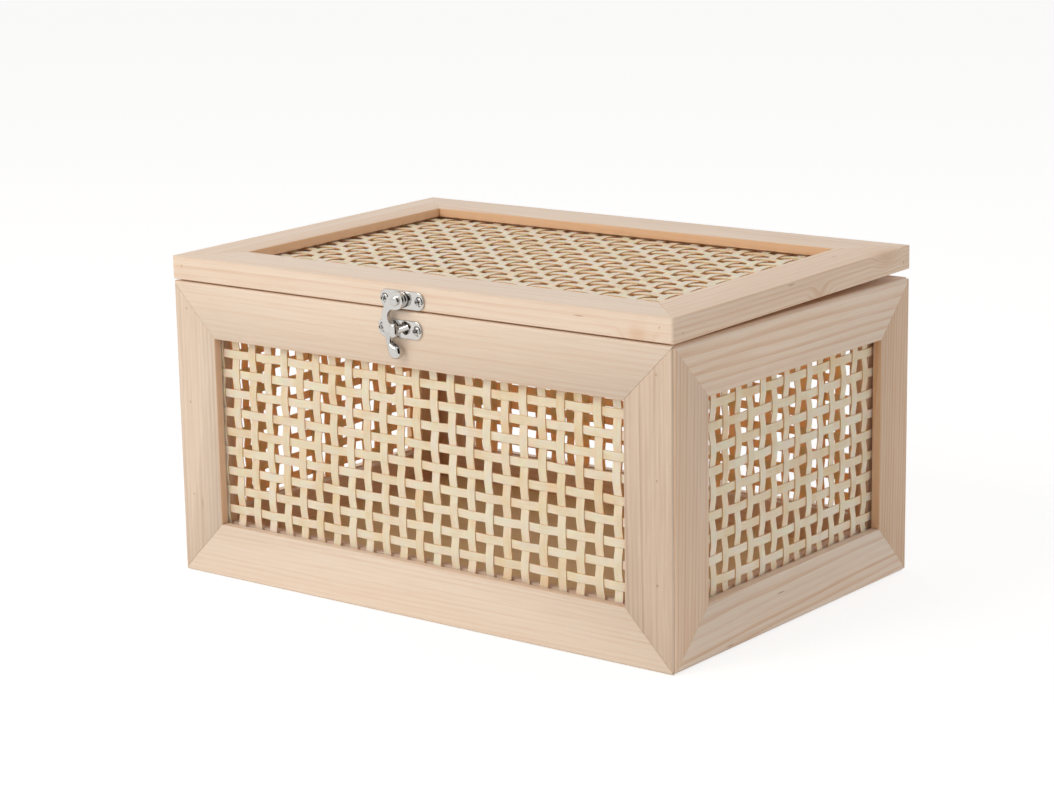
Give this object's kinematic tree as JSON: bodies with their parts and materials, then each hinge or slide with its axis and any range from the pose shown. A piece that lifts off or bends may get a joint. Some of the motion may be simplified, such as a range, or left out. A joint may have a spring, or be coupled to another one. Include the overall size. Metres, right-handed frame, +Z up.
{
  "type": "hinged keepsake box with woven cane panels",
  "caption": "Rectangular wooden keepsake box with open woven cane panels in mitred frames, a hinged framed cane lid and a swinging hook latch at the front.",
  "frame": {"origin": "on the surface that the box stands on, under the middle of the box", "axes": "+X to the right as seen from the front with the latch, +Y to the back with the hinges, +Z up"},
  "size_m": [0.3, 0.2131, 0.1635],
  "materials": {
    "pine": "sanded, bare",
    "plywood": "sanded, bare",
    "cane": "split cane, bare, slight sheen",
    "bright_nickel": "bright nickel plate",
    "hinge_steel": "nickel-plated steel",
    "brad_steel": "dull wire"
  },
  "bodies": {
    "box": {"back_bottom_rail": "pine", "back_cane_bands": "cane", "back_cane_uprights": "cane", "back_left_stile": "pine", "back_right_stile": "pine", "back_top_rail": "pine", "bottom_board": "plywood", "catch_plate": "bright_nickel", "catch_plate_screws": "bright_nickel", "corner_brads": "brad_steel", "front_bottom_rail": "pine", "front_cane_bands": "cane", "front_cane_uprights": "cane", "front_left_stile": "pine", "front_right_stile": "pine", "front_top_rail": "pine", "hinge_box_screws": "hinge_steel", "hinge_left_box_leaf": "hinge_steel", "hinge_left_pin": "hinge_steel", "hinge_right_box_leaf": "hinge_steel", "hinge_right_pin": "hinge_steel", "left_bottom_rail": "pine", "left_cane_bands": "cane", "left_cane_uprights": "cane", "left_front_stile": "pine", "left_rear_stile": "pine", "left_top_rail": "pine", "right_bottom_rail": "pine", "right_cane_bands": "cane", "right_cane_uprights": "cane", "right_front_stile": "pine", "right_rear_stile": "pine", "right_top_rail": "pine"},
    "lid": {"lid_back_rail": "pine", "lid_brads": "brad_steel", "lid_cane_bands": "cane", "lid_cane_uprights": "cane", "lid_front_rail": "pine", "lid_left_rail": "pine", "lid_right_rail": "pine", "latch_plate": "bright_nickel", "latch_plate_screws": "bright_nickel", "latch_pivot_rivet": "bright_nickel", "hinge_left_lid_leaf": "hinge_steel", "hinge_right_lid_leaf": "hinge_steel", "hinge_lid_screws": "hinge_steel"},
    "hook": {"latch_hook": "bright_nickel"}
  },
  "joints": [
    {"name": "lid_hinge", "type": "hinge", "parent": "box", "child": "lid", "pos_m": [0, 0.103, 0.15], "axis": [-1, 0, 0], "range_deg": [0, 195]},
    {"name": "hook_swing", "type": "hinge", "parent": "lid", "child": "hook", "pos_m": [-0.002, -0.10108, 0.15319], "axis": [0, 0.9999, 0.0162], "range_deg": [0, 110]}
  ]
}
